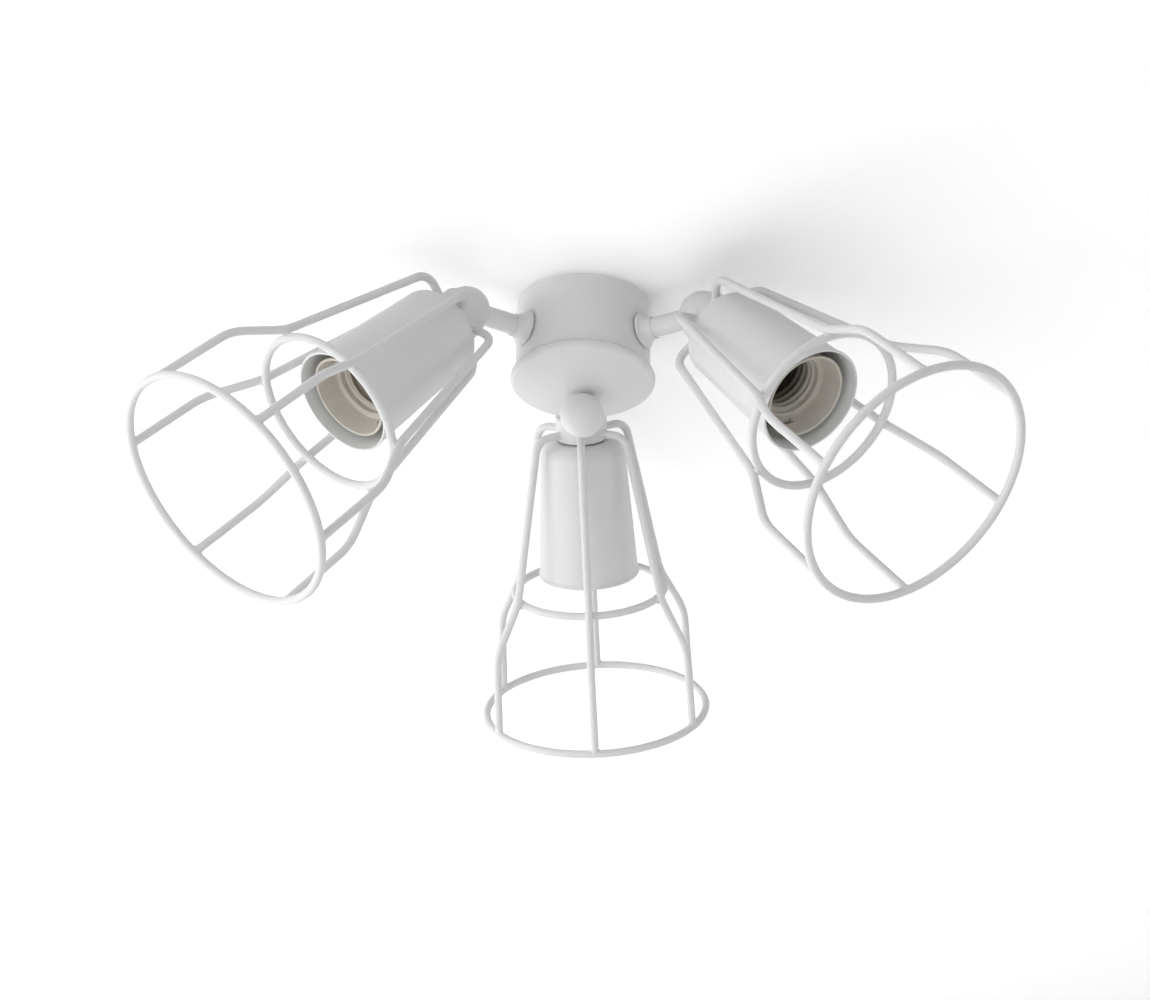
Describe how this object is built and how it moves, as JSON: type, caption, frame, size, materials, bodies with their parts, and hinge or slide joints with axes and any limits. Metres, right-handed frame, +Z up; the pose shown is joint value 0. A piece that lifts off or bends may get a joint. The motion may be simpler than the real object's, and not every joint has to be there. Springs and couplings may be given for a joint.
{
  "type": "ceiling fan light kit",
  "caption": "Round hub with swivelling arms and tilting lamp heads, each a steel cup round a screw lampholder with a flared wire cage; hangs under a ceiling fan.",
  "frame": {"origin": "centre of the hub's top face, where it meets the fan", "axes": "+Z up out of the hub's top face, +Y from the picture's side to the far lamp, +X to the right"},
  "size_m": [0.3978, 0.3768, 0.1851],
  "materials": {
    "white_paint": "smooth white powder coat, satin to semi-gloss",
    "ivory_plastic": "moulded ivory thermoset, satin",
    "terminal_plastic": "natural white polyamide",
    "grommet_rubber": "soft black rubber",
    "brass": "bright machined brass",
    "contact_metal": "thin nickelled spring strip",
    "zinc_steel": "zinc plated, slightly dull"
  },
  "bodies": {
    "hub": {"hub_body": "white_paint", "hub_cap": "white_paint", "cap_knob": "white_paint", "cap_knob_nut": "zinc_steel", "cable_grommet": "grommet_rubber", "terminal_block": "terminal_plastic", "terminal_clamps": "brass", "terminal_screws": "zinc_steel", "block_screw": "zinc_steel"},
    "arm_1": {"arm_tube_1": "white_paint", "arm_collar_1": "white_paint", "arm_washer_1": "zinc_steel", "arm_locknut_1": "zinc_steel", "ball_1": "white_paint"},
    "head_1": {"swivel_shoe_1": "zinc_steel", "swivel_stud_1": "zinc_steel", "neck_1": "white_paint", "cage_spokes_1": "white_paint", "mid_ring_1": "white_paint", "end_ring_1": "white_paint", "cup_1": "white_paint", "cup_nut_1": "zinc_steel", "holder_cap_1": "ivory_plastic", "holder_body_1": "ivory_plastic", "holder_contacts_1": "contact_metal", "holder_terminals_1": "brass"},
    "arm_2": {"arm_tube_2": "white_paint", "arm_collar_2": "white_paint", "arm_washer_2": "zinc_steel", "arm_locknut_2": "zinc_steel", "ball_2": "white_paint"},
    "head_2": {"swivel_shoe_2": "zinc_steel", "swivel_stud_2": "zinc_steel", "neck_2": "white_paint", "cage_spokes_2": "white_paint", "mid_ring_2": "white_paint", "end_ring_2": "white_paint", "cup_2": "white_paint", "cup_nut_2": "zinc_steel", "holder_cap_2": "ivory_plastic", "holder_body_2": "ivory_plastic", "holder_contacts_2": "contact_metal", "holder_terminals_2": "brass"},
    "arm_3": {"arm_tube_3": "white_paint", "arm_collar_3": "white_paint", "arm_washer_3": "zinc_steel", "arm_locknut_3": "zinc_steel", "ball_3": "white_paint"},
    "head_3": {"swivel_shoe_3": "zinc_steel", "swivel_stud_3": "zinc_steel", "neck_3": "white_paint", "cage_spokes_3": "white_paint", "mid_ring_3": "white_paint", "end_ring_3": "white_paint", "cup_3": "white_paint", "cup_nut_3": "zinc_steel", "holder_cap_3": "ivory_plastic", "holder_body_3": "ivory_plastic", "holder_contacts_3": "contact_metal", "holder_terminals_3": "brass"}
  },
  "joints": [
    {"name": "arm_swivel_1", "type": "hinge", "parent": "hub", "child": "arm_1", "pos_m": [-0.05595, -0.0323, -0.0222], "axis": [-0.866, -0.5, 0], "range_deg": [-39, 51]},
    {"name": "head_tilt_1", "type": "hinge", "parent": "arm_1", "child": "head_1", "pos_m": [-0.05595, -0.0323, -0.0222], "axis": [-0.4973, 0.8613, 0.1045], "range_deg": [-22, 33]},
    {"name": "arm_swivel_2", "type": "hinge", "parent": "hub", "child": "arm_2", "pos_m": [0.05595, -0.0323, -0.0222], "axis": [0.866, -0.5, 0], "range_deg": [-39, 51]},
    {"name": "head_tilt_2", "type": "hinge", "parent": "arm_2", "child": "head_2", "pos_m": [0.05595, -0.0323, -0.0222], "axis": [-0.4973, -0.8613, 0.1045], "range_deg": [-21, 34]},
    {"name": "arm_swivel_3", "type": "hinge", "parent": "hub", "child": "arm_3", "pos_m": [0, 0.0646, -0.0222], "axis": [0, 1, 0], "range_deg": [-39, 51]},
    {"name": "head_tilt_3", "type": "hinge", "parent": "arm_3", "child": "head_3", "pos_m": [0, 0.0646, -0.0222], "axis": [0.9945, 0, 0.1045], "range_deg": [-26.3, 28.7]}
  ]
}
